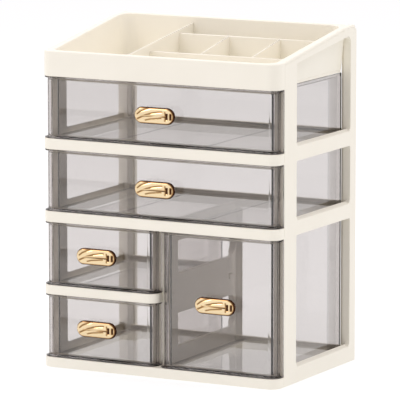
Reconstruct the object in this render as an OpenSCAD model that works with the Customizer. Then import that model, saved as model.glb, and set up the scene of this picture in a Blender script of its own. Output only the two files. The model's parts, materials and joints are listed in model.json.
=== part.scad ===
// Desktop makeup organizer: a cream plastic carcass with an open compartment
// tray on top and five smoked clear drawers with gold handles.
// Millimetres, +Z up, front towards -Y.  The origin is on the surface that the
// organizer stands on, under the middle of its outline, handles included.

/* [Carcass] */
// Width over the two side frames
body_w = 261.6; // [220:0.2:340]
// Depth of the carcass without the handles
body_d = 174; // [150:1:220]
// Plan radius of the front corners of the rails and the tray
corner_r = 11; // [9:0.5:15]
// How far the front rails wrap back before the side frames start
rail_d = 16.1; // [16:0.1:20]
// Gap that parts inside the carcass are assembled with
fit_gap = 0.3; // [0.1:0.1:0.5]

/* [Heights] */
// Height of the front rail of the base
base_h = 9.9; // [8:0.1:14]
// Height of the front rails of the two wide shelves
rail_h = 10.7; // [8:0.1:14]
// Height of the front rail of the small shelf
small_rail_h = 9.2; // [7:0.1:12]
// Clear height of the lower bay, which holds the small and the tall drawers
lower_bay_h = 136; // [110:1:180]
// Clear height of each of the two wide bays
wide_bay_h = 62; // [45:1:90]
// Height of the front wall of the tray
tray_front_h = 25.9; // [20:0.1:40]
// How much higher the tray is at the back than at the front
tray_rise = 21.6; // [10:0.2:30]
// Depth of the level part of the rim at the front
rim_front_d = 16; // [3:0.1:24]
// Depth of the level part of the rim at the back
rim_rear_d = 19; // [12:0.2:40]

/* [Side frames] */
// Thickness of a side frame
side_t = 5; // [4:0.5:6]
// Depth of the front upright of a side frame
upright_d = 26.3; // [18:0.1:34]
// Width of the front upright's inward flange, side frame included
front_flange_w = 10.7; // [9:0.1:14]
// Thickness of the front upright's inward flange
front_flange_t = 3; // [2:0.5:5]
// Depth of the rear post
rear_post_d = 12.8; // [8:0.1:16]
// Width of the rear post, side frame included
rear_post_w = 8.5; // [6.5:0.1:9]
// Width of the rear post's inward flange, side frame included
rear_flange_w = 14; // [10:0.5:20]
// Thickness of the rear post's inward flange
rear_flange_t = 4.9; // [3:0.1:6]
// Height of a window sill above the rail beside it
sill_h = 6.3; // [4:0.1:10]
// Extra height of the lowest window's sill
low_sill_rise = 2; // [0:0.5:5]
// How far a sill falls towards the outside
sill_fall = 2.5; // [1:0.1:3]
// Corner radius of the windows
window_r = 2; // [1:0.5:4]
// Radius of the rear top corner of the top window
top_window_r = 6; // [3:0.5:8]
// Height of the side frame's top rail at the front of the top window
top_rail_h = 5.4; // [3:0.1:8]
// Height of the side frame's top rail at the rear of the top window
top_rail_rear_h = 7.6; // [4:0.1:12]

/* [Shelves] */
// Thickness of the walls of a shelf frame
shelf_wall = 3; // [2:0.5:4]
// Width of the ledges that the drawers slide on
ledge_w = 13; // [9:0.5:20]
// Thickness of the ledges
ledge_t = 2.5; // [2:0.5:4]
// Thickness of the back rail
back_rail_t = 3.7; // [2.5:0.1:5]
// Height of the back rail above the front rail
back_curb_h = 5.5; // [3:0.1:8]
// Height of the runner rib on a ledge
runner_h = 2.2; // [1:0.1:3]
// Thickness of the runner rib on a ledge
runner_t = 1.4; // [1:0.1:2]
// Width of the snap tabs at the ends of a shelf
tab_w = 9; // [6:0.5:14]
// Height of the snap tabs
tab_h = 5; // [3:0.5:7]
// How far a snap tab reaches into a side frame
tab_reach = 2.6; // [1.5:0.1:3]
// Distance of the rear snap tabs from the rear posts
tab_back = 1; // [0.5:0.5:6]
// Side of the square blocks in the rear corners of the base
corner_block = 14; // [12:1:20]

/* [Partition] */
// Thickness of the partition
partition_t = 5.4; // [4:0.1:6]
// Place of the partition's right face, measured from the middle of the carcass
partition_x = -0.2; // [-20:0.1:20]
// How far the partition reaches past the lower bay, up and down
partition_tongue = 4.5; // [2:0.5:5]
// Width of the partition's front flange on the small drawers' side
flange_small_w = 8; // [5:0.5:12]
// Width of the partition's front flange on the tall drawer's side
flange_tall_w = 6.2; // [4:0.1:10]
// Width of the partition's rear flange
flange_rear_w = 4.6; // [3:0.1:8]
// Height of the windows in the partition
partition_window_h = 33; // [33:1:44]
// Radius of the rear corners of those windows
partition_window_r = 12; // [4:0.5:16]
// Distance from the rear end of those windows to the rear flange
partition_window_in = 1.5; // [1:0.5:10]

/* [Tray] */
// Thickness of the tray's walls
tray_wall = 2; // [1.5:0.1:2.5]
// Thickness of the tray's front wall
tray_front_t = 3.9; // [3:0.1:6]
// Thickness of the tray's floor
tray_floor_t = 2; // [1.5:0.1:3]
// Gap between the top drawer's bay and the underside of the tray
tray_lift = 2.8; // [2:0.1:5]
// Thickness of the rim that lies on the side frames
rim_t = 2.5; // [2:0.1:4]
// How far the side walls lean in from the rim to the floor
tray_lean = 4.4; // [2:0.1:6]
// Radius of the top rear corners, from above and from the side
rear_corner_r = 5; // [3:0.5:10]
// Plan radius of the compartments' outer corners
inner_corner_r = 14; // [4:0.5:16]
// Plan radius of the rear corners of the tray's body on the outside
body_corner_r = 3; // [1:0.5:6]
// Width of the skirt under each side wall of the tray
skirt_w = 2; // [1.5:0.1:3]
// Gap between those skirts and the top drawer's bay
skirt_gap = 0.4; // [0.3:0.1:1.5]
// Thickness of the dividers
divider_t = 1.8; // [1.4:0.1:2.4]
// Place of the long divider, measured from the middle
long_divider_x = -45; // [-80:0.2:-20]
// Place of the front cross divider, measured from the front
front_divider_y = 66.9; // [50:0.1:75]
// Place of the rear cross divider, measured from the front
rear_divider_y = 128.4; // [100:0.1:135]
// Height of the long divider's front end above the underside of the front wall
long_divider_h = 20.4; // [14:0.1:26]
// Rise of the long divider's top edge per millimetre of depth
divider_slope = 0.133; // [0.08:0.001:0.15]
// Height of the front cross divider above the underside of the front wall
front_divider_h = 22.3; // [14:0.1:26]
// Height of the rear cross divider above the underside of the front wall
rear_divider_h = 33.9; // [20:0.1:36]
// Number of equal cells between the cross dividers
cell_count = 3; // [2:1:5]

/* [Drawers] */
// Set-back of a drawer's clear front behind the rails
front_inset = 3.7; // [2.5:0.1:5]
// Thickness of a drawer's front
front_t = 2; // [1.6:0.1:3]
// Height of the flared edge along the top and the bottom of a front
flare_h = 4; // [3:0.1:6]
// Thickness of the edge of the flare
flare_t = 1; // [0.8:0.1:1.6]
// Set-back of the flare's edge behind the rails
flare_inset = 0.3; // [0.2:0.1:1]
// Gap above and below a drawer's front
front_gap = 0.4; // [0.3:0.1:1]
// Gap above a drawer's rim
rim_gap = 0.6; // [0.4:0.1:1.5]
// Thickness of a drawer's side and back walls
wall_t = 1.8; // [1.4:0.1:2.4]
// Thickness of a drawer's floor
floor_t = 2; // [1.5:0.1:3]
// Gap between a drawer's sides and the flanges that guide it
run_gap = 0.8; // [0.4:0.1:1.5]
// Plan radius of a drawer's rear corners
drawer_rear_r = 2; // [1:0.5:8]
// Length of the thicker strip at the rear of a drawer's side walls
wall_pad_l = 30.5; // [10:0.5:40]
// How much thicker the side walls are there
wall_pad_t = 1; // [0.6:0.1:1.4]
// Height of the bead along a drawer's rim
bead_h = 3; // [2:0.5:4]
// Thickness of the bead along a drawer's rim
bead_t = 2.8; // [2.4:0.1:4]
// Width of the stop lug on a drawer's back wall
lug_w = 16; // [8:1:24]
// How far the stop lug stands above the rim
lug_h = 2; // [1.2:0.1:2.4]
// Width of each of the two ribs on the floor of a wide drawer
floor_rib_w = 1; // [0.6:0.1:2]
// Height of those ribs
floor_rib_h = 0.6; // [0.4:0.1:1.2]
// Distance of those ribs from the middle
floor_rib_x = 49; // [20:1:90]
// Gap between the small drawers' fronts and the tall drawer's front
front_split = 1.8; // [1:0.1:4]
// How far the tall drawer's front reaches over the partition's edge
tall_overlap = 0.6; // [0:0.1:2]

/* [Handles] */
// Length of a handle
handle_l = 44; // [34:0.5:56]
// Height of a handle
handle_h = 16.5; // [12:0.5:20]
// Thickness of a handle from front to back
handle_t = 7.5; // [6:0.5:8]
// How far a handle's front stands off the drawer's front
handle_reach = 12; // [12:0.5:20]
// How far the handles of the lower drawers sit to the right of the middle
lower_handle_x = 1.3; // [-5:0.1:5]
// How far the small drawers' handles sit above the middle of their fronts
small_handle_z = 1.6; // [-4:0.1:4]
// Distance between the two screws of a handle
screw_pitch = 20.5; // [16:0.5:26]
// Radius of the posts behind a handle
post_r = 3.2; // [2.6:0.1:4]
// Radius of a screw's shank
screw_r = 1.5; // [1.2:0.1:1.6]
// Depth that a screw reaches into a handle
screw_reach = 7; // [5:0.5:9]
// Radius of a screw's head
screw_head_r = 2.8; // [2.4:0.1:3.4]
// Height of a screw's head
screw_head_h = 1.8; // [1.2:0.1:2.4]
// Length of the cross slot in a screw's head
slot_l = 3.2; // [2:0.1:4]
// Width of the cross slot
slot_w = 0.8; // [0.6:0.1:1]
// Depth of the cross slot
slot_d = 0.9; // [0.4:0.1:1.1]
// Clearance around a screw in a handle
screw_gap = 0.05; // [0.02:0.01:0.1]
// Clearance around a screw in a drawer's front
hole_gap = 0.2; // [0.1:0.05:0.4]

/* [Feet] */
// Radius of a rubber foot
foot_r = 5.5; // [4:0.5:6]
// Thickness of a rubber foot
foot_t = 2.5; // [2:0.5:4]
// How far a foot stands out below the base
foot_proud = 0.5; // [0.5:0.1:1.5]
// Distance of the front feet from the sides
foot_in = 18; // [14:1:40]

/* [Hidden] */
$fn = 64;
eps = 0.01;
// How far a cutting solid runs past what it cuts
past = 1;
// Least radius of a hollow's corner
inner_r_min = 0.4;

cream = [0.95, 0.92, 0.87];
smoke = [0.45, 0.42, 0.39, 0.45];
gold = [0.90, 0.70, 0.38];
steel = [0.72, 0.72, 0.72];
rubber = [0.35, 0.34, 0.33];

// Places across the width
side_x = body_w / 2;
panel_x = side_x - side_t;
partition_left = partition_x - partition_t;
tall_front_x = partition_x - tall_overlap;
small_front_x = tall_front_x - front_split;
post_x = side_x - rear_post_w;
notch_x = post_x - fit_gap;
guide_x = side_x - front_flange_w;
body_x = guide_x - run_gap;
small_body_x = partition_left - flange_small_w - run_gap;
tall_body_x = partition_x + flange_tall_w + run_gap;

// Places along the depth, from the front plane of the rails backwards
handle_proud = handle_reach - front_inset;
front_y = (handle_proud - body_d) / 2;
rear_y = front_y + body_d;
upright_y = front_y + rail_d;
window_y0 = upright_y + upright_d;
window_y1 = rear_y - rear_post_d;
flange_y = rear_y - rear_flange_t;
back_y = flange_y - back_rail_t;
glass_y = front_y + front_inset;
glass_rear_y = glass_y + front_t;
drawer_rear_y = back_y - fit_gap;
shoulder_y = upright_y - fit_gap;
tray_rear_y = window_y1 - fit_gap;
tab_y = [upright_y + upright_d / 2, window_y1 - fit_gap - tab_w / 2 - tab_back];

// Levels
base_z = foot_proud;
lower_z0 = base_z + base_h;
lower_z1 = lower_z0 + lower_bay_h;
middle_z0 = lower_z1 + rail_h;
middle_z1 = middle_z0 + wide_bay_h;
upper_z0 = middle_z1 + rail_h;
upper_z1 = upper_z0 + wide_bay_h;
small_bay_h = (lower_bay_h - small_rail_h) / 2;
small_z1 = lower_z0 + small_bay_h;
small_z2 = small_z1 + small_rail_h;
tray_z = upper_z1;
tray_under_z = tray_z + tray_lift;
tray_floor_z = tray_under_z + tray_floor_t;
rim_front_z = tray_z + tray_front_h;
rim_rear_z = rim_front_z + tray_rise;
top_z = rim_rear_z + past;

// Bottom and height of each shelf frame, as the two side frames carry them
base_level = [base_z, base_h];
small_level = [small_z1, small_rail_h];
middle_level = [lower_z1, rail_h];
upper_level = [middle_z1, rail_h];
right_levels = [base_level, middle_level, upper_level];
left_levels = [base_level, small_level, middle_level, upper_level];

// The tray's rim is level over the front wall, rises, and is level at the back
rim_y0 = front_y + rim_front_d;
rim_y1 = rear_y - rim_rear_d;
rim_slope = tray_rise / (rim_y1 - rim_y0);
function rim_z(y) = rim_front_z + rim_slope * (min(max(y, rim_y0), rim_y1) - rim_y0);

// The long divider's top edge
function divider_z(y) =
    tray_z + long_divider_h + divider_slope * (y - front_y - tray_front_t);

// Points of an arc round c from angle a0 to a1 in n steps
function arc(c, r, a0, a1, n = 8) = [
    for (i = [0:n]) c + r * [cos(a0 + (a1 - a0) * i / n), sin(a0 + (a1 - a0) * i / n)]
];

// ---- Shapes shared by several parts ----

module block(x0, x1, y0, y1, z0, z1) {
    translate([x0, y0, z0]) cube([x1 - x0, y1 - y0, z1 - z0]);
}

// Extrudes an outline drawn in depth and height across the width
module along_x(x0, x1) {
    translate([x0, 0, 0]) rotate([90, 0, 90]) linear_extrude(x1 - x0) children();
}

// Extrudes an outline drawn in width and height along the depth
module along_y(y0, y1) {
    translate([0, y1, 0]) rotate([90, 0, 0]) linear_extrude(y1 - y0) children();
}

// Extrudes a plan outline upwards
module along_z(z0, z1) {
    translate([0, 0, z0]) linear_extrude(z1 - z0) children();
}

module rounded_rect(x0, x1, y0, y1, r) {
    translate([x0 + r, y0]) square([x1 - x0 - 2 * r, y1 - y0]);
    translate([x0, y0 + r]) square([x1 - x0, y1 - y0 - 2 * r]);
    for (x = [x0 + r, x1 - r], y = [y0 + r, y1 - r])
        translate([x, y]) circle(r);
}

// Plan outline with two round corners at the front
module front_plan(x0, x1, y0, y1, r) {
    translate([x0, y0 + r]) square([x1 - x0, y1 - y0 - r]);
    translate([x0 + r, y0]) square([x1 - x0 - 2 * r, y1 - y0]);
    intersection() {
        for (x = [x0 + r, x1 - r])
            translate([x, y0 + r]) circle(r);
        translate([x0, y0]) square([x1 - x0, y1 - y0]);
    }
}

// Plan outline with two round corners at the rear
module rear_plan(x0, x1, y0, y1, r) {
    translate([x0, y0]) square([x1 - x0, y1 - y0 - r]);
    translate([x0 + r, y0]) square([x1 - x0 - 2 * r, y1 - y0]);
    for (x = [x0 + r, x1 - r])
        translate([x, y1 - r]) circle(r);
}

// ---- Side frames ----

// Outline of a side frame in depth and height, up to the underside of the rim
module side_outline() {
    top = rim_rear_z - rim_t;
    polygon(concat(
        [[upright_y, base_z], [rear_y, base_z]],
        arc([rear_y - rear_corner_r, top - rear_corner_r], rear_corner_r, 0, 90),
        [[rim_y1, top], [upright_y, rim_z(upright_y) - rim_t]]
    ));
}

// Level of the window sill above the shelf number i
function sill_z(levels, i) =
    levels[i][0] + levels[i][1] + sill_h + (i == 0 ? low_sill_rise : 0);

// Window beside the upper drawer, under the sloping top rail
module top_window() {
    z0 = upper_z0 + sill_h;
    z_front = rim_z(window_y0) - rim_t - top_rail_h;
    z_rear = rim_rear_z - rim_t - top_rail_rear_h;
    lean = atan2(z_rear - z_front, window_y1 - window_y0);
    corner = [
        window_y1 - top_window_r,
        z_rear - top_window_r * (tan(lean) + 1 / cos(lean))
    ];
    polygon(concat(
        [[window_y0, z0], [window_y1, z0]],
        arc(corner, top_window_r, 0, 90 + lean),
        [[window_y0, z_front]]
    ));
}

// One window between each two shelves, and the top one
module side_windows(levels) {
    for (i = [0:len(levels) - 2])
        rounded_rect(window_y0, window_y1, sill_z(levels, i), levels[i + 1][0], window_r);
    top_window();
}

// Slope that a window's sill has towards the outside
module sill_bevel(z) {
    along_y(window_y0 + window_r, window_y1 - window_r)
        polygon([[panel_x, z], [side_x + eps, z - sill_fall], [side_x + eps, z + eps]]);
}

// Blind pocket for a shelf's snap tab, in a side frame's inner face
module tab_pocket(y, z) {
    block(panel_x - eps, panel_x + tab_reach + fit_gap,
        y - tab_w / 2 - fit_gap, y + tab_w / 2 + fit_gap,
        z - tab_h / 2 - fit_gap, z + tab_h / 2 + fit_gap);
}

// Rear part of a side frame, from x0 to its panel and from y0 to its back
module rear_strip(x0, y0) {
    along_x(x0, panel_x + eps) intersection() {
        side_outline();
        translate([y0, base_z]) square([rear_y - y0, top_z - base_z]);
    }
}

// Right side frame for shelves at the given levels.  Its front flange guides
// the drawers between them.
module side_frame(levels) {
    last = len(levels) - 1;
    difference() {
        union() {
            along_x(panel_x, side_x) side_outline();
            rear_strip(side_x - rear_flange_w, flange_y);
            rear_strip(post_x, window_y1);
            for (i = [0:last])
                block(guide_x, panel_x + eps, upright_y, upright_y + front_flange_t,
                    levels[i][0] + levels[i][1], i < last ? levels[i + 1][0] : tray_z);
        }
        along_x(panel_x - past, side_x + past) side_windows(levels);
        for (i = [0:last])
            sill_bevel(sill_z(levels, i));
        for (level = levels, y = tab_y)
            tab_pocket(y, level[0] + level[1] / 2);
    }
}

module side_frame_right() {
    color(cream) side_frame(right_levels);
}

// Mirror image of the right one, with a bar across its lowest window for the
// small shelf
module side_frame_left() {
    color(cream) mirror([1, 0, 0]) side_frame(left_levels);
}

// ---- Shelf frames ----

// Snap tab that stands out from x0 to x1
module tab(x0, x1, y, z) {
    block(x0, x1, y - tab_w / 2, y + tab_w / 2, z - tab_h / 2, z + tab_h / 2);
}

// Wall, ledge and runner rib along one end of a shelf frame.  face is the end
// face and dir the direction from it to the middle of the shelf.
module shelf_end(face, dir, rib_x, z, h) {
    block(min(face, face + dir * shelf_wall), max(face, face + dir * shelf_wall),
        upright_y - eps, flange_y, z, z + h);
    block(min(face, face + dir * ledge_w), max(face, face + dir * ledge_w),
        upright_y - eps, back_y + eps, z + h - ledge_t, z + h);
    block(min(rib_x, rib_x - dir * runner_t), max(rib_x, rib_x - dir * runner_t),
        upright_y + front_flange_t + fit_gap, back_y + eps, z + h - eps, z + h + runner_h);
}

// Notches for the rear posts of the side frames
module post_notches(z0, z1) {
    w = panel_x + past - notch_x;
    for (x = [-notch_x - w, notch_x])
        block(x, x + w, window_y1 - fit_gap, rear_y, z0, z1);
}

// Open frame between the faces x0 and x1, with a front rail from f0 to f1 in
// front of the uprights.  r0 and r1 are the inner faces of its runner ribs.
module shelf_frame(x0, x1, f0, f1, r0, r1, z, h) {
    along_z(z, z + h) front_plan(f0, f1, front_y, upright_y, corner_r);
    difference() {
        union() {
            shelf_end(x0, 1, r0, z, h);
            shelf_end(x1, -1, r1, z, h);
            block(x0, x1, back_y, flange_y, z, z + h + back_curb_h);
        }
        post_notches(z - past, z + h + back_curb_h + past);
    }
}

module wide_shelf(level) {
    z = level[0];
    h = level[1];
    shelf_frame(-panel_x, panel_x, -side_x, side_x, -guide_x, guide_x, z, h);
    for (y = tab_y) {
        tab(-panel_x - tab_reach, -panel_x + eps, y, z + h / 2);
        tab(panel_x - eps, panel_x + tab_reach, y, z + h / 2);
    }
}

// Slot that the partition stands in, through a back rail
module partition_slot(z0, z1) {
    block(partition_left - fit_gap, partition_x + fit_gap, back_y - past, flange_y + past, z0, z1);
}

module shelf_upper() {
    color(cream) wide_shelf(upper_level);
}

module shelf_middle() {
    color(cream) difference() {
        wide_shelf(middle_level);
        partition_slot(lower_z1 - past, lower_z1 + partition_tongue + fit_gap);
    }
}

// Its right-hand tabs pass through the partition
module shelf_small() {
    z = small_z1 + small_rail_h / 2;
    color(cream) {
        shelf_frame(-panel_x, partition_left, -side_x, small_front_x,
            -guide_x, partition_left - flange_small_w, small_z1, small_rail_h);
        for (y = tab_y) {
            tab(-panel_x - tab_reach, -panel_x + eps, y, z);
            tab(partition_left - eps, partition_x + tab_reach, y, z);
        }
    }
}

// Places of the feet
foot_places = [
    [-side_x + foot_in, front_y + rail_d / 2],
    [side_x - foot_in, front_y + rail_d / 2],
    [-notch_x + corner_block / 2, back_y - corner_block / 2],
    [notch_x - corner_block / 2, back_y - corner_block / 2]
];

module base_frame() {
    color(cream) difference() {
        union() {
            wide_shelf(base_level);
            for (x = [-notch_x, notch_x - corner_block])
                block(x, x + corner_block, back_y - corner_block, back_y + eps,
                    base_z, lower_z0);
        }
        partition_slot(lower_z0 - partition_tongue - fit_gap, lower_z0 + back_curb_h + past);
        for (place = foot_places)
            translate([place[0], place[1], 0]) cylinder(h = foot_t, r = foot_r + fit_gap);
    }
}

module foot(place) {
    color(rubber) translate([place[0], place[1], 0]) cylinder(h = foot_t, r = foot_r);
}

// ---- Partition ----

// Window with square corners at the front and round ones at the rear
module partition_window(z) {
    r = partition_window_r;
    y1 = flange_y - partition_window_in;
    z0 = z - partition_window_h / 2;
    translate([window_y0, z0]) square([y1 - r - window_y0, partition_window_h]);
    translate([window_y0, z0 + r]) square([y1 - window_y0, partition_window_h - 2 * r]);
    for (corner_z = [z0 + r, z0 + partition_window_h - r])
        translate([y1 - r, corner_z]) circle(r);
}

// Along its bottom run ledges for the drawers on both sides
module partition() {
    y0 = upright_y + fit_gap;
    y1 = upright_y + front_flange_t;
    color(cream) difference() {
        union() {
            block(partition_left, partition_x, y0, rear_y,
                lower_z0 - partition_tongue, lower_z1 + partition_tongue);
            block(partition_left - ledge_w, partition_x + ledge_w, y0, back_y - fit_gap,
                lower_z0 - ledge_t, lower_z0);
            for (bay = [[lower_z0, small_z1], [small_z2, lower_z1]])
                block(partition_left - flange_small_w, partition_left + eps, y0, y1,
                    bay[0], bay[1]);
            block(partition_x - eps, partition_x + flange_tall_w, y0, y1, lower_z0, lower_z1);
            block(partition_x - eps, partition_x + flange_rear_w, flange_y, rear_y,
                lower_z0, lower_z1);
        }
        along_x(partition_left - past, partition_x + past) {
            partition_window(lower_z0 + small_bay_h / 2);
            partition_window(small_z2 + small_bay_h / 2);
        }
        for (y = tab_y)
            block(partition_left - past, partition_x + past,
                y - tab_w / 2 - fit_gap, y + tab_w / 2 + fit_gap,
                (small_z1 + small_z2 - tab_h) / 2 - fit_gap,
                (small_z1 + small_z2 + tab_h) / 2 + fit_gap);
    }
}

// ---- Tray ----

// Side view of the tray, down to the level z
module tray_outline(z) {
    polygon(concat(
        [[front_y, z], [rear_y, z]],
        arc([rear_y - rear_corner_r, rim_rear_z - rear_corner_r], rear_corner_r, 0, 90),
        [[rim_y1, rim_rear_z], [rim_y0, rim_front_z], [front_y, rim_front_z]]
    ));
}

// Side view of the rim alone
module rim_outline() {
    difference() {
        tray_outline(tray_z);
        translate([0, -rim_t]) tray_outline(tray_z - rear_corner_r);
    }
}

// Tapered body between the side frames, its sides and rear set in by t and its
// corners rounded by r
module tray_body(t, z0, r) {
    half = panel_x - fit_gap - t;
    intersection() {
        along_y(front_y + tray_front_t * t / tray_wall, tray_rear_y - t)
            polygon([
                [-half + tray_lean, tray_under_z], [half - tray_lean, tray_under_z],
                [half, top_z], [-half, top_z]
            ]);
        along_z(z0, top_z)
            rounded_rect(-half, half, front_y + tray_front_t * t / tray_wall,
                tray_rear_y - t, r);
    }
}

// Cross divider, z high, at the place y behind the front
module cross_divider(y, z) {
    block(long_divider_x, panel_x, front_y + y - divider_t / 2, front_y + y + divider_t / 2,
        tray_under_z, z);
}

module tray_dividers() {
    y0 = front_y + tray_front_t - eps;
    y1 = tray_rear_y - eps;
    z0 = tray_z + front_divider_h;
    z1 = tray_z + rear_divider_h;
    cell_w = (panel_x - fit_gap - long_divider_x) / cell_count;
    along_x(long_divider_x - divider_t / 2, long_divider_x + divider_t / 2)
        polygon([[y0, tray_under_z], [y1, tray_under_z], [y1, divider_z(y1)],
            [y0, divider_z(y0)]]);
    cross_divider(front_divider_y, z0);
    cross_divider(rear_divider_y, z1);
    for (i = [1:cell_count - 1])
        along_x(long_divider_x + i * cell_w - divider_t / 2,
            long_divider_x + i * cell_w + divider_t / 2)
            polygon([
                [front_y + front_divider_y, tray_under_z],
                [front_y + rear_divider_y, tray_under_z],
                [front_y + rear_divider_y, z1],
                [front_y + front_divider_y, z0]
            ]);
}

// Strips under the side walls that close the slit above the top drawer
module tray_skirts() {
    x0 = panel_x - fit_gap - tray_lean - skirt_w;
    for (x = [-x0 - skirt_w, x0])
        block(x, x + skirt_w, upright_y - eps, tray_rear_y - body_corner_r,
            tray_z + skirt_gap, tray_under_z + eps);
}

module top_tray() {
    color(cream) {
        tray_skirts();
        difference() {
            union() {
                intersection() {
                    along_z(tray_z, top_z) front_plan(-side_x, side_x, front_y, upright_y, corner_r);
                    along_x(-side_x, side_x) tray_outline(tray_z);
                }
                intersection() {
                    along_z(tray_z, top_z) {
                        front_plan(-side_x, side_x, front_y, rear_y - rear_corner_r, corner_r);
                        rear_plan(-side_x, side_x, front_y + corner_r, rear_y, rear_corner_r);
                    }
                    along_x(-side_x, side_x) rim_outline();
                }
                intersection() {
                    tray_body(0, tray_under_z, body_corner_r);
                    along_x(-side_x, side_x) tray_outline(tray_z);
                }
            }
            tray_body(tray_wall, tray_floor_z, inner_corner_r);
        }
        intersection() {
            tray_dividers();
            tray_body(tray_wall / 2, tray_under_z, inner_corner_r);
        }
    }
}

// ---- Drawers ----

// Section of a drawer's clear front: a flat wall with a flared edge along its
// top and bottom.  x is the distance in front of the rails' outline.
module front_section(z0, z1) {
    edge = -flare_inset;
    flat = -front_inset;
    scoop = front_inset - flare_inset;
    rise = flare_h - flare_t;
    n = 6;
    lower = [for (i = [0:n]) [edge - scoop * sin(90 * i / n),
        z0 + flare_t + rise * (1 - cos(90 * i / n))]];
    upper = [for (i = [n:-1:0]) [edge - scoop * sin(90 * i / n),
        z1 - flare_t - rise * (1 - cos(90 * i / n))]];
    polygon(concat(
        [[flat - front_t, z0], [edge, z0]], lower, upper, [[edge, z1], [flat - front_t, z1]]
    ));
}

// Front that follows the rails round both corners, from e0 to e1
module drawer_front(e0, e1, z0, z1) {
    y_end = upright_y - fit_gap;
    y_arc = front_y + corner_r;
    translate([e1 - corner_r, front_y, 0]) rotate([90, 0, -90])
        linear_extrude(e1 - e0 - 2 * corner_r) front_section(z0, z1);
    translate([e0 + corner_r, y_arc, 0]) rotate([0, 0, 180])
        rotate_extrude(angle = 90) translate([corner_r, 0]) front_section(z0, z1);
    translate([e1 - corner_r, y_arc, 0]) rotate([0, 0, 270])
        rotate_extrude(angle = 90) translate([corner_r, 0]) front_section(z0, z1);
    translate([e0, y_arc, 0]) rotate([90, 0, 180])
        linear_extrude(y_end - y_arc) front_section(z0, z1);
    translate([e1, y_end, 0]) rotate([90, 0, 0])
        linear_extrude(y_end - y_arc) front_section(z0, z1);
}

// Plan of a drawer's hollow inside walls of the thickness t
module drawer_hollow(b0, b1, t) {
    rear_plan(b0 + t, b1 - t, shoulder_y - wall_t - past, drawer_rear_y - t,
        max(drawer_rear_r - t, inner_r_min));
}

// Box behind the front: walls and floor from b0 to b1, with a bead along its
// rim, thicker strips at the rear of its side walls and a stop lug
module drawer_box(b0, b1, under, rim) {
    mid = (b0 + b1) / 2;
    difference() {
        along_z(under, rim)
            rear_plan(b0, b1, shoulder_y - wall_t, drawer_rear_y, drawer_rear_r);
        along_z(under + floor_t, rim - bead_h) drawer_hollow(b0, b1, wall_t);
        along_z(rim - bead_h - eps, rim + past) drawer_hollow(b0, b1, bead_t);
    }
    for (x = [b0 + wall_t - eps, b1 - wall_t - wall_pad_t])
        block(x, x + wall_pad_t + eps, drawer_rear_y - wall_pad_l, drawer_rear_y - wall_t + eps,
            under + floor_t - eps, rim - bead_h + eps);
    block(mid - lug_w / 2, mid + lug_w / 2, drawer_rear_y - wall_t, drawer_rear_y,
        rim - bead_h, rim + lug_h);
}

// Drawer with a front from e0 to e1 and a box from b0 to b1, in the bay from
// z0 to z1.  Its inside reaches to both ends of the front, up to shoulders
// before the uprights.  ribs are the places of the ribs on its floor, and
// handle_at is the place of its handle.
module drawer(e0, e1, b0, b1, z0, z1, handle_at, ribs = []) {
    under = z0 + fit_gap;
    rim = z1 - rim_gap;
    inset = front_inset + front_t / 2;
    color(smoke) difference() {
        union() {
            drawer_front(e0, e1, z0 + front_gap, z1 - front_gap);
            along_z(under, under + floor_t)
                front_plan(e0 + inset, e1 - inset, front_y + inset, shoulder_y, corner_r - inset);
            for (end = [[e0 + flare_inset, b0 + wall_t], [b1 - wall_t, e1 - flare_inset]])
                block(end[0], end[1], shoulder_y - wall_t, shoulder_y, under, rim);
            drawer_box(b0, b1, under, rim);
            for (x = ribs)
                block(x - floor_rib_w / 2, x + floor_rib_w / 2, glass_rear_y - eps,
                    drawer_rear_y - wall_t + eps, under + floor_t - eps,
                    under + floor_t + floor_rib_h);
        }
        at_screws(handle_at)
            screw_rod(glass_y - past, glass_rear_y + past, screw_r + hole_gap);
    }
}

// Places of the handles, across and up
small_mid_x = (small_front_x - side_x) / 2 + lower_handle_x;
tall_mid_x = (tall_front_x + side_x) / 2 + lower_handle_x;
upper_handle = [0, (upper_z0 + upper_z1) / 2];
middle_handle = [0, (middle_z0 + middle_z1) / 2];
small_upper_handle = [small_mid_x, (small_z2 + lower_z1) / 2 + small_handle_z];
small_lower_handle = [small_mid_x, (lower_z0 + small_z1) / 2 + small_handle_z];
tall_handle = [tall_mid_x, (lower_z0 + lower_z1) / 2];

module wide_drawer(z0, z1, handle_at) {
    drawer(-side_x, side_x, -body_x, body_x, z0, z1, handle_at, [-floor_rib_x, floor_rib_x]);
}

module small_drawer(z0, z1, handle_at) {
    drawer(-side_x, small_front_x, -body_x, small_body_x, z0, z1, handle_at);
}

module tall_drawer() {
    drawer(tall_front_x, side_x, tall_body_x, body_x, lower_z0, lower_z1, tall_handle);
}

// ---- Handles and their screws ----

// Puts the children at both screws of the handle at the place at
module at_screws(at) {
    for (s = [-1, 1])
        translate([at[0] + s * screw_pitch / 2, 0, at[1]]) children();
}

// Round rod along the depth
module screw_rod(y0, y1, r) {
    translate([0, y1, 0]) rotate([90, 0, 0]) cylinder(h = y1 - y0, r = r);
}

// Section of the handle bar: depth and height, with round edges
module bar_section(half) {
    polygon(concat(
        arc([0, half], handle_t / 2, 0, 180, 12), arc([0, -half], handle_t / 2, 180, 360, 12)
    ));
}

module handle(at) {
    half = (handle_h - handle_t) / 2;
    bar = handle_l / 2 - handle_h / 2;
    bar_y = glass_y - handle_reach + handle_t / 2;
    color(gold) difference() {
        union() {
            translate([at[0], bar_y, at[1]]) {
                along_x(-bar, bar) bar_section(half);
                for (s = [-bar, bar])
                    translate([s, 0, 0]) rotate([90, 0, 0]) rotate_extrude()
                        polygon(concat([[0, -handle_t / 2]],
                            arc([half, 0], handle_t / 2, -90, 90, 12), [[0, handle_t / 2]]));
            }
            at_screws(at) screw_rod(bar_y, glass_y, post_r);
        }
        at_screws(at)
            screw_rod(glass_y - screw_reach, glass_y + past, screw_r + screw_gap);
    }
}

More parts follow.
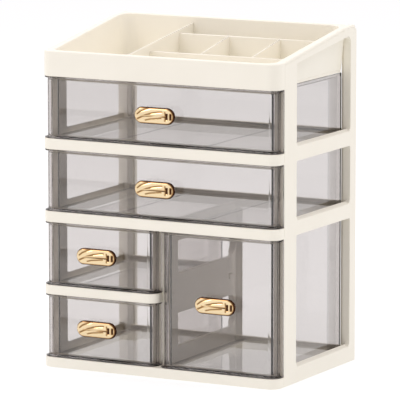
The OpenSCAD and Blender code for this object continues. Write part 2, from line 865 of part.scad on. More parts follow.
module screws(at) {
    head_y = glass_rear_y + screw_head_h;
    color(steel) at_screws(at) difference() {
        union() {
            screw_rod(glass_y - screw_reach + fit_gap, glass_rear_y + eps, screw_r);
            screw_rod(glass_rear_y, head_y, screw_head_r);
        }
        for (size = [[slot_l, slot_w], [slot_w, slot_l]])
            block(-size[0] / 2, size[0] / 2, head_y - slot_d, head_y + past,
                -size[1] / 2, size[1] / 2);
    }
}

side_frame_left();
side_frame_right();
top_tray();
shelf_upper();
shelf_middle();
shelf_small();
base_frame();
partition();
foot(foot_places[0]);  // foot_front_left
foot(foot_places[1]);  // foot_front_right
foot(foot_places[2]);  // foot_rear_left
foot(foot_places[3]);  // foot_rear_right
wide_drawer(upper_z0, upper_z1, upper_handle);  // drawer_upper
wide_drawer(middle_z0, middle_z1, middle_handle);  // drawer_middle
small_drawer(small_z2, lower_z1, small_upper_handle);  // drawer_small_upper
small_drawer(lower_z0, small_z1, small_lower_handle);  // drawer_small_lower
tall_drawer();  // drawer_tall
handle(upper_handle);  // handle_upper
handle(middle_handle);  // handle_middle
handle(small_upper_handle);  // handle_small_upper
handle(small_lower_handle);  // handle_small_lower
handle(tall_handle);  // handle_tall
screws(upper_handle);  // screws_upper
screws(middle_handle);  // screws_middle
screws(small_upper_handle);  // screws_small_upper
screws(small_lower_handle);  // screws_small_lower
screws(tall_handle);  // screws_tall
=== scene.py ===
"""Looks of the desktop makeup organizer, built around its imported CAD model.

The side frames, the shelves and the drawers are softened copies of the CAD solids.  The
tray and the handles are modelled here, and every surface gets a procedural material.
"""

import json
import math

import bmesh
import bpy
from mathutils import Matrix, Vector


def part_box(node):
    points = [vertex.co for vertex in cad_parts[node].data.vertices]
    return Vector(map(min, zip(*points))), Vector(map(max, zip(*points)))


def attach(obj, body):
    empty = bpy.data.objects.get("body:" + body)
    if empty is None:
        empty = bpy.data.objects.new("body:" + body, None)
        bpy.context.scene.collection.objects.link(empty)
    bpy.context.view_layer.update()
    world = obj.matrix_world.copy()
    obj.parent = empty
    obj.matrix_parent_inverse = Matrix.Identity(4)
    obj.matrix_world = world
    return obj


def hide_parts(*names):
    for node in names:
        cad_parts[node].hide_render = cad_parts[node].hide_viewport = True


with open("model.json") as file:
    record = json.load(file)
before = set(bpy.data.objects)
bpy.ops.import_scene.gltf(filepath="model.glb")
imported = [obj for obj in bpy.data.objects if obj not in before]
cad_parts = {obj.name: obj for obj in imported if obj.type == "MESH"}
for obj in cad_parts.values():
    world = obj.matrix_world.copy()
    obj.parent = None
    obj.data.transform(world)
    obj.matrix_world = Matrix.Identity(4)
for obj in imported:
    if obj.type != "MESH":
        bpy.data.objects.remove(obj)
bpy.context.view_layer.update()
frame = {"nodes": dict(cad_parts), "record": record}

MM = 0.001
DRAWERS = ["upper", "middle", "small_upper", "small_lower", "tall"]
SHELVES = ["shelf_upper", "shelf_middle", "shelf_small", "base_frame"]
FEET = ["foot_front_left", "foot_front_right", "foot_rear_left", "foot_rear_right"]

# ---- Camera, at the photograph's viewing angle ----

CAMERA_AZIMUTH = math.radians(27.90)
CAMERA_ELEVATION = math.radians(8.98)
CAMERA_DISTANCE = 4.0765
CAMERA_TARGET = Vector((0.4 * MM, 4.05 * MM, 165.3 * MM))
CAMERA_LENS = 369.35
SENSOR_WIDTH = 36
CLIP_END = 100
CAMERA_SHIFT_X = 0.00175


def direction(azimuth, elevation):
    """Unit vector from the object towards azimuth (0 is the front, 90 the right) and elevation."""
    level = math.cos(elevation)
    return Vector((math.sin(azimuth) * level, -math.cos(azimuth) * level, math.sin(elevation)))


def aim(obj, place, target):
    """Puts obj at place, looking at target along its own -Z axis."""
    turn = (target - place).to_track_quat("-Z", "Y")
    obj.matrix_world = Matrix.Translation(place) @ turn.to_matrix().to_4x4()


def make_camera():
    """The camera that sees the object as the photograph does."""
    data = bpy.data.cameras.new("camera")
    data.sensor_width = SENSOR_WIDTH
    data.lens = CAMERA_LENS
    data.shift_x = CAMERA_SHIFT_X
    data.clip_end = CLIP_END
    camera = bpy.data.objects.new("camera", data)
    bpy.context.scene.collection.objects.link(camera)
    place = CAMERA_TARGET + direction(CAMERA_AZIMUTH, CAMERA_ELEVATION) * CAMERA_DISTANCE
    aim(camera, place, CAMERA_TARGET)
    bpy.context.scene.camera = camera


# ---- Materials ----


def new_material(name):
    """A material with its node tree, and the tree's Principled shader."""
    material = bpy.data.materials.new(name)
    material.use_nodes = True
    return material, material.node_tree, material.node_tree.nodes["Principled BSDF"]


def set_values(shader, values):
    """Sets sockets of a shader by their names."""
    for socket, value in values.items():
        shader.inputs[socket].default_value = value


def noise(tree, scale, detail=2.0):
    """A noise texture in the object's own coordinates, scale in cells per metre."""
    coordinates = tree.nodes.new("ShaderNodeTexCoord")
    texture = tree.nodes.new("ShaderNodeTexNoise")
    texture.inputs["Scale"].default_value = scale
    texture.inputs["Detail"].default_value = detail
    tree.links.new(coordinates.outputs["Object"], texture.inputs["Vector"])
    return texture.outputs["Fac"]


def ramp(tree, factor, stops):
    """A colour ramp over factor, with stops as (place, colour)."""
    node = tree.nodes.new("ShaderNodeValToRGB")
    tree.links.new(factor, node.inputs["Fac"])
    elements = node.color_ramp.elements
    while len(elements) < len(stops):
        elements.new(0.5)
    for element, (place, colour) in zip(elements, stops):
        element.position = place
        element.color = (*colour, 1)
    return node.outputs["Color"]


def remap(tree, factor, low, high):
    """factor, from 0 to 1, spread over low to high."""
    node = tree.nodes.new("ShaderNodeMapRange")
    node.inputs["To Min"].default_value = low
    node.inputs["To Max"].default_value = high
    tree.links.new(factor, node.inputs["Value"])
    return node.outputs["Result"]


def greater(tree, first, second):
    """The greater of two values."""
    node = tree.nodes.new("ShaderNodeMath")
    node.operation = "MAXIMUM"
    tree.links.new(first, node.inputs[0])
    tree.links.new(second, node.inputs[1])
    return node.outputs["Value"]


def bump(tree, shader, height, distance, strength=1.0):
    """Fine relief, distance deep in metres."""
    node = tree.nodes.new("ShaderNodeBump")
    node.inputs["Distance"].default_value = distance
    node.inputs["Strength"].default_value = strength
    tree.links.new(height, node.inputs["Height"])
    tree.links.new(node.outputs["Normal"], shader.inputs["Normal"])


def let_lamps_through(tree, shader, colour):
    """Lets light fall straight through a clear material, tinted by colour."""
    path = tree.nodes.new("ShaderNodeLightPath")
    clear = tree.nodes.new("ShaderNodeBsdfTransparent")
    clear.inputs["Color"].default_value = (*colour, 1)
    mix = tree.nodes.new("ShaderNodeMixShader")
    tree.links.new(path.outputs["Is Shadow Ray"], mix.inputs["Fac"])
    tree.links.new(shader.outputs["BSDF"], mix.inputs[1])
    tree.links.new(clear.outputs["BSDF"], mix.inputs[2])
    tree.links.new(mix.outputs["Shader"], tree.nodes["Material Output"].inputs["Surface"])


def cream_plastic():
    """Satin injection-moulded plastic with a very fine grain."""
    material, tree, shader = new_material("cream_plastic")
    set_values(shader, {"IOR": 1.5, "Specular IOR Level": 0.5})
    tint = ramp(tree, noise(tree, 28), [(0.3, (0.905, 0.868, 0.760)), (0.7, (0.922, 0.886, 0.780))])
    tree.links.new(tint, shader.inputs["Base Color"])
    tree.links.new(remap(tree, noise(tree, 160), 0.34, 0.44), shader.inputs["Roughness"])
    bump(tree, shader, noise(tree, 2600, 1.0), 0.02 * MM)
    return material


def smoked_clear():
    """Polished clear plastic whose grey-brown tint deepens with the length of the way through."""
    material, tree, shader = new_material("smoked_clear")
    set_values(
        shader, {"Base Color": (1, 1, 1, 1), "IOR": 1.50, "Transmission Weight": 1.0})
    tree.links.new(remap(tree, noise(tree, 60), 0.0, 0.03), shader.inputs["Roughness"])
    absorption = tree.nodes.new("ShaderNodeVolumeAbsorption")
    absorption.inputs["Color"].default_value = (0.29, 0.215, 0.185, 1)
    absorption.inputs["Density"].default_value = 140
    output = tree.nodes["Material Output"]
    tree.links.new(absorption.outputs["Volume"], output.inputs["Volume"])
    let_lamps_through(tree, shader, (1.0, 0.98, 0.95))
    return material


def gold_metal():
    """Polished gold plating, darkened by painted shade in its creases and towards its back."""
    material, tree, shader = new_material("gold_metal")
    set_values(shader, {"Metallic": 1.0})
    painted_shade = tree.nodes.new("ShaderNodeAttribute")
    painted_shade.attribute_name = "painted_shade"
    # The ramp paints shade: gold where nothing is shaded, then brown, then near black at the
    # outline and in the hollows.
    tint = ramp(
        tree, painted_shade.outputs["Fac"],
        [(0.0, (1.0, 0.80, 0.50)), (0.30, (0.62, 0.37, 0.16)), (0.85, (0.07, 0.025, 0.01))])
    tree.links.new(tint, shader.inputs["Base Color"])
    tree.links.new(remap(tree, noise(tree, 300), 0.08, 0.14), shader.inputs["Roughness"])
    bump(tree, shader, noise(tree, 700), 0.01 * MM)
    return material


def screw_steel():
    """Zinc-plated steel, slightly dull."""
    material, tree, shader = new_material("screw_steel")
    set_values(shader, {"Metallic": 1.0})
    tint = ramp(tree, noise(tree, 900), [(0.3, (0.55, 0.55, 0.56)), (0.7, (0.68, 0.68, 0.68))])
    tree.links.new(tint, shader.inputs["Base Color"])
    tree.links.new(remap(tree, noise(tree, 1500), 0.25, 0.40), shader.inputs["Roughness"])
    return material


def foot_rubber():
    """Soft grey rubber."""
    material, tree, shader = new_material("foot_rubber")
    tint = ramp(tree, noise(tree, 500), [(0.3, (0.16, 0.155, 0.15)), (0.7, (0.21, 0.205, 0.195))])
    tree.links.new(tint, shader.inputs["Base Color"])
    tree.links.new(remap(tree, noise(tree, 900), 0.65, 0.85), shader.inputs["Roughness"])
    bump(tree, shader, noise(tree, 1800), 0.05 * MM)
    return material


CREAM = cream_plastic()
SMOKED = smoked_clear()
GOLD = gold_metal()
STEEL = screw_steel()
RUBBER = foot_rubber()

# ---- Making meshes ----


def body_of(node):
    """Name of the CAD body that a node belongs to."""
    bodies = frame["record"]["behaviour"]["bodies"]
    return next(body for body, nodes in bodies.items() if node in nodes)


def dress(obj, node, material):
    """Gives a finished piece its material, and lets it stand for the CAD node."""
    obj.data.materials.clear()
    obj.data.materials.append(material)
    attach(obj, body_of(node))
    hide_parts(node)


def apply_modifiers(obj):
    """Turns the modifiers' result into the object's own mesh."""
    graph = bpy.context.evaluated_depsgraph_get()
    mesh = bpy.data.meshes.new_from_object(obj.evaluated_get(graph))
    obj.modifiers.clear()
    obj.data = mesh


def even_shading(obj, widest=None):
    """Smooth shading with the flat faces left flat.  widest is the area of the largest quad in
    the curved parts, where the obj has them."""
    for polygon in obj.data.polygons:
        flat = widest and (len(polygon.vertices) > 4 or polygon.area > widest)
        polygon.use_smooth = not flat
    weights = obj.modifiers.new("weights", "WEIGHTED_NORMAL")
    weights.keep_sharp = True
    apply_modifiers(obj)


def mesh_object(name, bm):
    """An object from a finished bmesh."""
    bmesh.ops.recalc_face_normals(bm, faces=bm.faces)
    mesh = bpy.data.meshes.new(name)
    bm.to_mesh(mesh)
    bm.free()
    obj = bpy.data.objects.new(name, mesh)
    bpy.context.scene.collection.objects.link(obj)
    return obj


# Area of the largest quad in a curved part of the CAD solids
WIDEST_CURVED = 300 * MM * MM
# Where the two cuts that open the ring-shaped faces lie, as a share of the node's width and depth
CUT_SHARE = 0.35
# Points closer than this are one point
SAME_POINT = 0.001 * MM
# Faces that differ by less than this, in degrees, are one flat face
SAME_PLANE = 0.3


def merge_flat_faces(bm, low, high):
    """Merges the triangles of each flat face, in four quarters so that no face is a closed ring."""
    for axis in ((1, 0, 0), (0, 1, 0)):
        cut = bmesh.ops.bisect_plane(
            bm, geom=bm.verts[:] + bm.edges[:] + bm.faces[:], dist=SAME_POINT,
            plane_co=[a + (b - a) * CUT_SHARE for a, b in zip(low, high)], plane_no=axis)
        for part in cut["geom_cut"]:
            if isinstance(part, bmesh.types.BMEdge):
                part.seam = True
    bmesh.ops.dissolve_limit(
        bm, angle_limit=math.radians(SAME_PLANE), use_dissolve_boundaries=False,
        verts=bm.verts, edges=bm.edges, delimit={"SEAM"})


def softened(node, radius, segments=2, angle=25, ease=None):
    """Copy of a CAD node whose edges sharper than angle are rounded with radius.  ease, where it
    is given, changes the copy's mesh before that."""
    bm = bmesh.new()
    bm.from_mesh(frame["nodes"][node].data)
    if ease:
        ease(bm, *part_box(node))
    bmesh.ops.remove_doubles(bm, verts=bm.verts, dist=2 * SAME_POINT)
    merge_flat_faces(bm, *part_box(node))
    obj = mesh_object(node + "_soft", bm)
    bevel = obj.modifiers.new("bevel", "BEVEL")
    bevel.width = radius
    bevel.segments = segments
    bevel.limit_method = "ANGLE"
    bevel.angle_limit = math.radians(angle)
    bevel.use_clamp_overlap = False
    apply_modifiers(obj)
    even_shading(obj, WIDEST_CURVED)
    return obj


def skin(bm, loops):
    """Faces from each closed loop of equally many vertices to the next, and a cap on both ends."""
    for lower, upper in zip(loops, loops[1:]):
        for i in range(len(lower)):
            j = (i + 1) % len(lower)
            bm.faces.new((lower[i], lower[j], upper[j], upper[i]))
    bm.faces.new(loops[0])
    bm.faces.new(loops[-1])


def loft(bm, rings):
    """Skins closed rings of points."""
    skin(bm, [[bm.verts.new(point) for point in ring] for ring in rings])


def smooth_step(value, start, end):
    """0 before start, 1 after end and a smooth S between them."""
    share = min(max((value - start) / (end - start), 0), 1)
    return share * share * (3 - 2 * share)


def steps(start, end, count):
    """count + 1 evenly spaced values from start to end."""
    return [start + (end - start) * i / count for i in range(count + 1)]


# ---- Tray ----

TRAY_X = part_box("top_tray")[1][0]
TRAY_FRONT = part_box("top_tray")[0][1]
TRAY_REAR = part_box("top_tray")[1][1]
TRAY_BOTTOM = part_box("top_tray")[0][2]
TRAY_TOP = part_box("top_tray")[1][2]
UPRIGHT_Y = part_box("side_frame_right")[0][1]

# The rim: its height in front, where it starts and ends to rise, and its section
FRONT_TOP = TRAY_BOTTOM + 25.9 * MM
RISE_START = TRAY_FRONT + 16 * MM
RISE_END = TRAY_REAR - 19 * MM
RISE_BEND = 4 * MM
RIM_T = 2.5 * MM
RIM_EDGE = 2.0 * MM
RIM_LIP = 1.5 * MM
FRONT_CORNER = 11 * MM
REAR_CORNER = 5 * MM

# The body: it leans inwards towards its underside, and its front wall hangs lower
UNDER_Z = TRAY_BOTTOM + 2.8 * MM
UNDER_EDGE = 0.6 * MM
UNDER_INSET = 6 * MM
SKIRT_EDGE = 0.25 * MM
FLOOR_Z = UNDER_Z + 2 * MM
BODY_X = TRAY_X - 5.3 * MM
BODY_REAR = TRAY_REAR - 13.1 * MM
BODY_LEAN = 4.4 * MM
BODY_CORNER = 3 * MM
HOLLOW_CORNER = 14 * MM
FRONT_T = 3.9 * MM
WALL_T = 2 * MM
FLOOR_FILLET = 1.5 * MM

# The dividers: one from front to rear, two across and the walls of the cells between those
LONG_X = -45 * MM
DIVIDER_T = 1.8 * MM
FRONT_DIVIDER = TRAY_FRONT + 66.9 * MM
REAR_DIVIDER = TRAY_FRONT + 128.4 * MM
FRONT_DIVIDER_TOP = TRAY_BOTTOM + 22.3 * MM
REAR_DIVIDER_TOP = TRAY_BOTTOM + 33.9 * MM
LONG_TOP = TRAY_BOTTOM + 20.4 * MM
LONG_SLOPE = 0.133
CELLS = 3
# How far a piece reaches into the one that it stands on
EMBEDDED = 0.6 * MM

STRIP_X = BODY_X - BODY_LEAN - MM
STRIP_T = 2 * MM
STRIP_BOTTOM = TRAY_BOTTOM + 0.4 * MM
STRIP_EDGE = 0.3 * MM

# Where the rings of the tray have points along its two sides
SIDE_YS = [UPRIGHT_Y - 0.1 * MM, UPRIGHT_Y + 0.05 * MM] + steps(UPRIGHT_Y + 4 * MM, 62 * MM, 32)


def bent(value, bend):
    """value where it is above 0 and else 0, with a soft bend between them."""
    if value <= -bend:
        return 0
    return value if value >= bend else (value + bend) ** 2 / (4 * bend)


def rim_z(y):
    """Height of the rim: level in front, rising, level behind, and round at the rear edge."""
    climbed = bent(y - RISE_START, RISE_BEND) - bent(y - RISE_END, RISE_BEND)
    z = FRONT_TOP + (TRAY_TOP - FRONT_TOP) * climbed / (RISE_END - RISE_START)
    past = y - (TRAY_REAR - REAR_CORNER)
    if past > 0:
        z -= REAR_CORNER - math.sqrt(max(REAR_CORNER ** 2 - past ** 2, 0))
    return z


def skirt_z(y):
    """Underside of the rim, and of the front wall where it hangs in front of the uprights."""
    return TRAY_BOTTOM if y < UPRIGHT_Y else rim_z(y) - RIM_T


def body_half(z):
    """Half the width of the leaning body at the height z."""
    return BODY_X - BODY_LEAN * (TRAY_TOP + MM - z) / (TRAY_TOP + MM - UNDER_Z)


def plan_ring(half_at, y0, y1, r0, r1, z_at):
    """Closed ring with round corners.  half_at gives half its width at a height."""
    ring = []

    def add(side, inward, y):
        z = z_at(y)
        ring.append((side * (half_at(z) - inward), y, z))

    def corner(side, radius, y_centre, start):
        for angle in steps(start, start + 90, 10):
            turn = math.radians(angle)
            add(side, radius - radius * abs(math.cos(turn)), y_centre + radius * math.sin(turn))

    def straight(y, radius, sign):
        z = z_at(y)
        reach = half_at(z) - radius
        for x in steps(-reach, reach, 24)[1:-1]:
            ring.append((sign * x, y, z))

    corner(-1, r0, y0 + r0, 180)
    straight(y0, r0, 1)
    corner(1, r0, y0 + r0, 270)
    sides = [min(max(y, y0 + r0), y1 - r1) for y in SIDE_YS]
    for y in sides:
        add(1, 0, y)
    corner(1, r1, y1 - r1, 0)
    straight(y1, r1, -1)
    corner(-1, r1, y1 - r1, 90)
    for y in reversed(sides):
        add(-1, 0, y)
    return ring


def outer_ring(inset, z_at):
    """Ring on the rim's outline, moved inwards by inset."""
    return plan_ring(
        lambda z: TRAY_X - inset, TRAY_FRONT + inset, TRAY_REAR - inset,
        FRONT_CORNER - inset, max(REAR_CORNER - inset, MM), z_at)


def body_ring(inset, z_at, corner=BODY_CORNER):
    """Ring on the leaning body, moved inwards by inset."""
    return plan_ring(
        lambda z: body_half(z) - inset, TRAY_FRONT + FRONT_T - WALL_T + inset, BODY_REAR - inset,
        corner, corner, z_at)


def tray_rings():
    """Rings from the middle of the underside, over the rim, to the middle of the floor."""
    rings = [
        body_ring(UNDER_INSET, lambda y: UNDER_Z),
        body_ring(UNDER_EDGE, lambda y: UNDER_Z),
        body_ring(0, lambda y: UNDER_Z if y < UPRIGHT_Y else UNDER_Z + UNDER_EDGE),
        body_ring(0, skirt_z),
        outer_ring(SKIRT_EDGE, skirt_z),
        outer_ring(0, lambda y: skirt_z(y) + SKIRT_EDGE),
    ]
    for angle in steps(0, 90, 6):
        turn = math.radians(angle)
        drop = RIM_EDGE * (1 - math.sin(turn))
        rings.append(outer_ring(RIM_EDGE * (1 - math.cos(turn)), lambda y, d=drop: rim_z(y) - d))
    for angle in steps(0, 90, 5):
        turn = math.radians(angle)
        drop = RIM_LIP * (1 - math.cos(turn))
        rings.append(body_ring(
            WALL_T - RIM_LIP + RIM_LIP * math.sin(turn), lambda y, d=drop: rim_z(y) - d,
            HOLLOW_CORNER))
    low = FLOOR_Z + FLOOR_FILLET
    for share in (0.6, 0.3):
        rings.append(body_ring(
            WALL_T, lambda y, s=share: low + s * (rim_z(y) - RIM_LIP - low), HOLLOW_CORNER))
    for angle in steps(0, 90, 4):
        turn = math.radians(angle)
        inward = FLOOR_FILLET * (1 - math.cos(turn))
        height = low - FLOOR_FILLET * math.sin(turn)
        rings.append(body_ring(WALL_T + inward, lambda y, h=height: h, HOLLOW_CORNER - inward))
    return rings


def slab(bm, start, end, top_at):
    """Divider with a half-round top.  start and end give its ends in plan at a height."""
    radius = DIVIDER_T / 2
    along = (Vector(end(FLOOR_Z)) - Vector(start(FLOOR_Z))).normalized()
    across = Vector((-along.y, along.x))

    def ring(place_at):
        top = top_at(place_at(FLOOR_Z))
        section = [(-radius, FLOOR_Z - EMBEDDED)]
        for angle in steps(180, 0, 8):
            turn = math.radians(angle)
            section.append((radius * math.cos(turn), top - radius + radius * math.sin(turn)))
        section.append((radius, FLOOR_Z - EMBEDDED))
        return [(*(Vector(place_at(z)) + across * offset), z) for offset, z in section]

    loft(bm, [ring(start), ring(end)])


def cell_top(place):
    """Height of the walls between the cells, which rise from one cross divider to the other."""
    rise = REAR_DIVIDER_TOP - FRONT_DIVIDER_TOP
    return FRONT_DIVIDER_TOP + rise * (place[1] - FRONT_DIVIDER) / (REAR_DIVIDER - FRONT_DIVIDER)


def add_dividers(bm):
    """The dividers, whose ends reach into the walls."""
    front = TRAY_FRONT + FRONT_T
    slab(
        bm, lambda z: (LONG_X, front - EMBEDDED), lambda z: (LONG_X, BODY_REAR - WALL_T + EMBEDDED),
        lambda place: LONG_TOP + LONG_SLOPE * (place[1] - front))
    for y, top in ((FRONT_DIVIDER, FRONT_DIVIDER_TOP), (REAR_DIVIDER, REAR_DIVIDER_TOP)):
        slab(
            bm, lambda z, y=y: (LONG_X, y),
            lambda z, y=y: (body_half(z) - WALL_T + EMBEDDED, y), lambda place, top=top: top)
    cell = (BODY_X - LONG_X) / CELLS
    for i in range(1, CELLS):
        x = LONG_X + i * cell
        slab(
            bm, lambda z, x=x: (x, FRONT_DIVIDER), lambda z, x=x: (x, REAR_DIVIDER), cell_top)


def add_strips(bm):
    """Strips under both side walls that close the slit above the top drawer."""
    levels = [
        (STRIP_EDGE, STRIP_BOTTOM), (0, STRIP_BOTTOM + STRIP_EDGE), (0, UNDER_Z + EMBEDDED)]
    y0 = UPRIGHT_Y - EMBEDDED
    y1 = BODY_REAR - BODY_CORNER
    for side in (-1, 1):
        middle = side * STRIP_X
        rings = []
        for inset, z in levels:
            half = STRIP_T / 2 - inset
            rings.append([
                (middle - half, y0, z), (middle + half, y0, z),
                (middle + half, y1, z), (middle - half, y1, z)])
        loft(bm, rings)


def make_tray():
    """The tray with a softly rounded rim, its dividers and the strips under it."""
    bm = bmesh.new()
    loft(bm, tray_rings())
    bmesh.ops.remove_doubles(bm, verts=bm.verts, dist=SAME_POINT)
    add_dividers(bm)
    add_strips(bm)
    obj = mesh_object("tray", bm)
    even_shading(obj)
    return obj


# ---- Carcass ----

FRAMES = ["side_frame_left", "side_frame_right", "partition"]
FRAME_EDGE = 0.5 * MM
FOOT_EDGE = 0.4 * MM


def make_carcass():
    """The frames, the shelves, the tray and the feet."""
    for node in FRAMES + SHELVES:
        dress(softened(node, FRAME_EDGE), node, CREAM)
    dress(make_tray(), "top_tray", CREAM)
    for node in FEET:
        dress(softened(node, FOOT_EDGE), node, RUBBER)


# ---- Handles ----

BAR_T = 7.5 * MM
BAR_ROUNDNESS = 2.5
POST_PITCH = 20.5 * MM
POST_R = 3.1 * MM
POST_FLARE = 0.9 * MM

# Turns of the bar's section between which its painted shade darkens, in degrees from its front, and
# how much of that painted shade is taken off at the left end, where a highlight falls
PAINTED_SHADE_START = 44
PAINTED_SHADE_END = 68
LIT_LEFT_END = 0.8

# Creases across the front of a handle, darkened with painted shade, from its middle, in
# millimetres: their points along and up, their depth and their width
CREASES = [
    ([(-18, 1.2), (-14.5, 3.9), (-10, 5.8), (-5, 7.4)], 0.9, 0.9),
    ([(-18, -3.6), (-13, -1.2), (-8, 0.9), (-2, 2.8), (5, 4.0), (9, 4.3)], 1.1, 0.9),
    ([(-9, -4.4), (-4, -3.1), (2, -2.4), (8.5, -1.6)], 0.8, 0.7),
    ([(12.6, -4.2), (13.4, 0), (12.6, 4.2)], 0.9, 0.8),
]
# Hollows beside the knuckle at the right end, painted dark in place of reflections: middle along,
# half length, half height, depth
HOLLOWS = [(14.6, 1.1, 3.1, 1.2), (18.6, 1.0, 3.1, 0.9)]


def distance_to(path, x, z):
    """Distance from a point to a line through points."""
    best = 1e9
    point = Vector((x, z))
    for a, b in zip(path, path[1:]):
        a, b = Vector(a), Vector(b)
        share = min(max((point - a).dot(b - a) / (b - a).length_squared, 0), 1)
        best = min(best, (a + (b - a) * share - point).length)
    return best


def carving(x, z):
    """Depth of the carving at a point of a handle's front, in millimetres, and the painted shade in
    it.
    """
    depth, dark = 0.0, 0.0
    for path, deep, width in CREASES:
        share = math.exp(-(distance_to(path, x, z) / width) ** 2)
        depth = max(depth, deep * share)
        dark = max(dark, 0.8 * share ** 2)
    for middle, half_l, half_h, deep in HOLLOWS:
        share = smooth_step(abs(x - middle), half_l + 0.5, half_l - 0.5)
        share = share * smooth_step(abs(z), half_h + 0.5, half_h - 0.5)
        depth = max(depth, deep * share)
        dark = max(dark, share)
    return depth, dark


def pill_outline(reach):
    """Points round a pill, each as its place on the middle line and the direction out of it."""
    outline = []
    for side in (1, -1):
        for angle in steps(-90, 90, 24)[:-1]:
            turn = math.radians(angle)
            outline.append((side * reach, side * math.cos(turn), side * math.sin(turn)))
        for x in steps(side * reach, -side * reach, 34)[:-1]:
            outline.append((x, 0, side))
    return outline


def add_bar(bm, middle, radius, reach):
    """The carved pill of a handle, with painted shade as a value of each vertex: darker towards its
    back, in its creases and in its hollows, and lighter at the left end where a highlight falls.
    """
    layer = bm.verts.layers.float.new("painted_shade")
    power = 2 / BAR_ROUNDNESS
    outline = pill_outline(reach)
    x_mid, y_mid, z_mid = middle
    loops = []
    for angle in steps(0, 180, 44)[1:-1]:
        turn = math.radians(angle)
        share = math.sin(turn) ** power
        bulge = math.copysign(abs(math.cos(turn)) ** power, math.cos(turn))
        loop = []
        for along, nx, nz in outline:
            x, z = along + nx * radius * share, nz * radius * share
            y = -BAR_T / 2 * bulge
            # Painted shade: darker as the section turns away from the front, less so at the left
            # end, where a highlight falls
            lit_end = LIT_LEFT_END * max(0, -nx) ** 4
            dark = smooth_step(angle, PAINTED_SHADE_START, PAINTED_SHADE_END) * (1 - lit_end)
            if bulge > 0:
                depth, shade = carving(x / MM, z / MM)
                y += depth * MM * smooth_step(bulge, 0.05, 0.5)
                dark = max(dark, shade)
            vert = bm.verts.new((x_mid + x, y_mid + y, z_mid + z))
            vert[layer] = dark
            loop.append(vert)
        loops.append(loop)
    skin(bm, loops)


def add_posts(bm, middle, rear_y):
    """Two posts from inside the bar to the drawer's front, flared where they stand on it."""
    x_mid, y_mid, z_mid = middle
    sections = [
        (y_mid, POST_R - POST_FLARE), (rear_y - 1.6 * MM, POST_R - POST_FLARE),
        (rear_y - 0.9 * MM, POST_R - 0.6 * MM), (rear_y - 0.5 * MM, POST_R), (rear_y, POST_R)]
    turns = [2 * math.pi * i / 32 for i in range(32)]
    for side in (-1, 1):
        x = x_mid + side * POST_PITCH / 2
        loft(bm, [
            [(x + r * math.cos(turn), y, z_mid + r * math.sin(turn)) for turn in turns]
            for y, r in sections])


def make_handle(node):
    """Gold pill with creases that fan out over its front, on two short posts."""
    low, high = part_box(node)
    radius = (high[2] - low[2]) / 2
    reach = (high[0] - low[0]) / 2 - radius
    middle = ((low[0] + high[0]) / 2, low[1] + BAR_T / 2, (low[2] + high[2]) / 2)
    bm = bmesh.new()
    add_bar(bm, middle, radius, reach)
    add_posts(bm, middle, high[1])
    obj = mesh_object(node + "_bar", bm)
    even_shading(obj)
    return obj


# ---- Drawers ----

DRAWER_EDGE = 0.2 * MM
SCREW_EDGE = 0.1 * MM

# Length of the side walls' thicker rear end, and of the slope that it starts with here
PAD_L = 30.5 * MM
PAD_SLOPE = 21 * MM
# Top of the floor's ribs above the drawer's underside, and how far they are lowered here
RIB_TOP = 2.6 * MM
RIB_SUNK = 0.35 * MM
# How near to a height or depth a vertex has to be to lie on it
ON_PLANE = 0.01 * MM


def ease_drawer(bm, low, high):
    """Gives the thicker rear ends of the side walls a sloping start, and lowers the floor ribs."""
    start = [v for v in bm.verts if abs(v.co.y - (high[1] - PAD_L)) < ON_PLANE]
    middle = sum(v.co.x for v in start) / len(start)
    reach = max(abs(v.co.x - middle) for v in start)
    on_wall = reach - 0.5 * MM
    for vert in start:
        if abs(vert.co.x - middle) < on_wall:
            vert.co.y += PAD_SLOPE
    for vert in bm.verts:
        if abs(vert.co.z - low[2] - RIB_TOP) < ON_PLANE:
            vert.co.z -= RIB_SUNK


def make_drawers():
    """Each drawer with its handle and its screws."""
    for name in DRAWERS:
        box, handle, screws = "drawer_" + name, "handle_" + name, "screws_" + name
        dress(softened(box, DRAWER_EDGE, ease=ease_drawer), box, SMOKED)
        dress(make_handle(handle), handle, GOLD)
        dress(softened(screws, SCREW_EDGE), screws, STEEL)


# ---- Stage ----

# The world and the floor look white.  As a light the world is softer, and gloss mirrors both of
# them darker
WORLD_SEEN = 1.0
WORLD_LIGHT = 0.73
GLOSS_WORLD = 0.93
FLOOR_COLOUR = 0.35
FLOOR_GLOW = 0.73
GLOSS_FLOOR = 0.52
FLOOR_SIZE = 40
LIGHT_TINT = (1.0, 0.958, 0.975)

# Lamps: name, azimuth and elevation in degrees, distance in metres and power in watts
LAMPS = [
    ("key", -50, 52, 2.0, 8.8),
    ("side", 118, 58, 2.2, 9.0),
    ("left", -105, 50, 2.2, 9.5),
    ("top", 60, 80, 2.2, 2.5),
]
LAMP_SIZE = 1.2


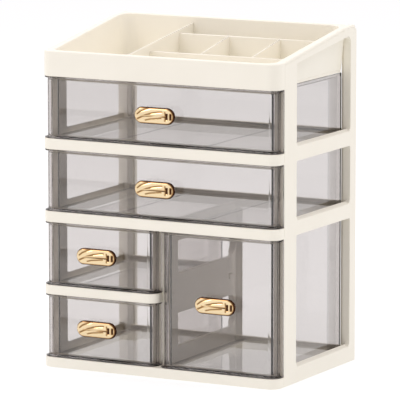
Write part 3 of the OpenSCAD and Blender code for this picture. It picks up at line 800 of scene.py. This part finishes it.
def by_ray(tree, seen, in_gloss, as_light):
    """Value for what the camera sees, itself or through glass, another for what gloss mirrors,
    and a third for light on surfaces."""
    path = tree.nodes.new("ShaderNodeLightPath").outputs
    unlit = greater(tree, path["Is Camera Ray"], path["Is Transmission Ray"])
    value = remap(tree, unlit, as_light, seen)
    mirrored = remap(tree, path["Is Glossy Ray"], as_light, in_gloss)
    tree.links.new(mirrored, value.node.inputs["To Min"])
    return value


def make_world():
    """White to the eye, and a little softer as a light."""
    world = bpy.data.worlds.new("studio")
    bpy.context.scene.world = world
    world.use_nodes = True
    tree = world.node_tree
    background = tree.nodes["Background"]
    path = tree.nodes.new("ShaderNodeLightPath").outputs
    tint = ramp(tree, path["Is Diffuse Ray"], [(0.0, (1, 1, 1)), (1.0, LIGHT_TINT)])
    tree.links.new(tint, background.inputs["Color"])
    strength = by_ray(tree, WORLD_SEEN, GLOSS_WORLD, WORLD_LIGHT)
    tree.links.new(strength, background.inputs["Strength"])


def make_lamp(name, azimuth, elevation, distance, watts):
    """A round lamp that shines on the object."""
    data = bpy.data.lights.new(name, "AREA")
    data.shape = "DISK"
    data.size = LAMP_SIZE
    data.energy = watts
    data.color = LIGHT_TINT
    lamp = bpy.data.objects.new(name, data)
    bpy.context.scene.collection.objects.link(lamp)
    toward = direction(math.radians(azimuth), math.radians(elevation))
    aim(lamp, CAMERA_TARGET + toward * distance, CAMERA_TARGET)


def make_floor():
    """A pale floor that looks white where nothing shades it."""
    bpy.ops.mesh.primitive_plane_add(size=FLOOR_SIZE, location=(0, 0, 0))
    floor = bpy.context.object
    floor.name = "floor"
    material, tree, shader = new_material("floor")
    set_values(shader, {
        "Base Color": (FLOOR_COLOUR, FLOOR_COLOUR, FLOOR_COLOUR, 1),
        "Roughness": 0.9,
        "Specular IOR Level": 0.0,
        "Emission Color": (1, 1, 1, 1),
    })
    glow = by_ray(tree, FLOOR_GLOW, GLOSS_FLOOR, FLOOR_GLOW)
    tree.links.new(glow, shader.inputs["Emission Strength"])
    floor.data.materials.append(material)


make_camera()
make_carcass()
make_drawers()
make_world()
for lamp in LAMPS:
    make_lamp(*lamp)
make_floor()

scene = bpy.context.scene
scene.view_settings.view_transform = "Standard"
scene.cycles.max_bounces = 24
scene.cycles.transmission_bounces = 24
scene.cycles.glossy_bounces = 8
